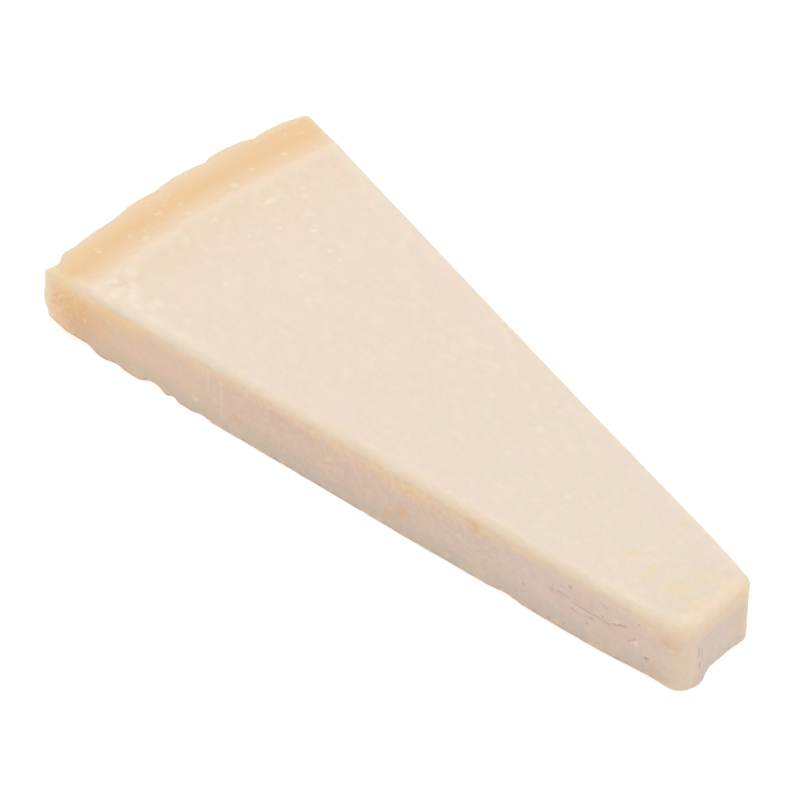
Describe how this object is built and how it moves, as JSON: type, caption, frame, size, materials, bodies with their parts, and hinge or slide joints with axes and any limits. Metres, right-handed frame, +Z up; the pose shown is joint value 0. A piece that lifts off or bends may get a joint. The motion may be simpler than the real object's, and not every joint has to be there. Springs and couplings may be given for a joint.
{
  "type": "hard cheese wedge",
  "caption": "Flat wedge of hard grating cheese with a scalloped amber rind at its wide end, a blunt nose, softly worn top edges and a chipped lower edge.",
  "frame": {"origin": "middle of the footprint, on the flat underside", "axes": "+X from the rind towards the blunt nose, +Y from the front cut face to the back cut face, +Z up through the thickness"},
  "size_m": [0.1589, 0.0692, 0.0171],
  "materials": {
    "cheese": "pale cream paste with a faint grain and a satin, slightly oily surface, turning amber in the rind"
  },
  "bodies": {
    "root": {"cheese_wedge": "cheese"}
  },
  "joints": []
}
